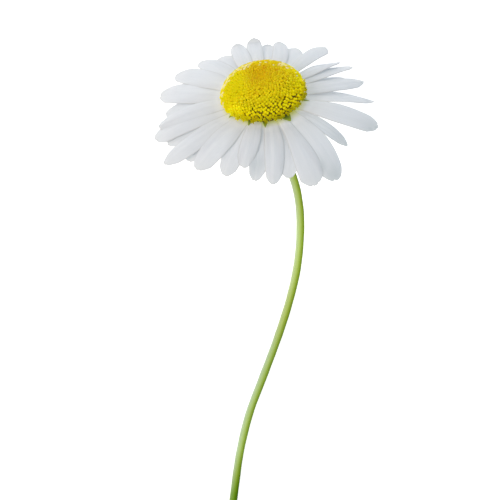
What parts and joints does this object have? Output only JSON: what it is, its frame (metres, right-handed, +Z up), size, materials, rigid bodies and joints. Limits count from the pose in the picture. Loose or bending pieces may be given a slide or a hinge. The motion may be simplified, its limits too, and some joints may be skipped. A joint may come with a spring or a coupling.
{
  "type": "chamomile flower, cut",
  "caption": "Cut chamomile flower with white rays round a domed yellow disc, on a bare green stem, lying on a surface as table decoration.",
  "frame": {"origin": "on the surface that the flower lies on, under the middle of its bounding box", "axes": "+Y from the cut end of the stem towards the head, +Z up from the surface, +X to the right seen from above"},
  "size_m": [0.0568, 0.1366, 0.0369],
  "materials": {
    "ray_white": "soft matte",
    "disc_yellow": "matte, pollen dusted",
    "bract_green": "satin",
    "stem_green": "satin"
  },
  "bodies": {
    "root": {"stem": "stem_green", "involucre": "bract_green", "ray_florets": "ray_white", "disc_florets": "disc_yellow"}
  },
  "joints": []
}
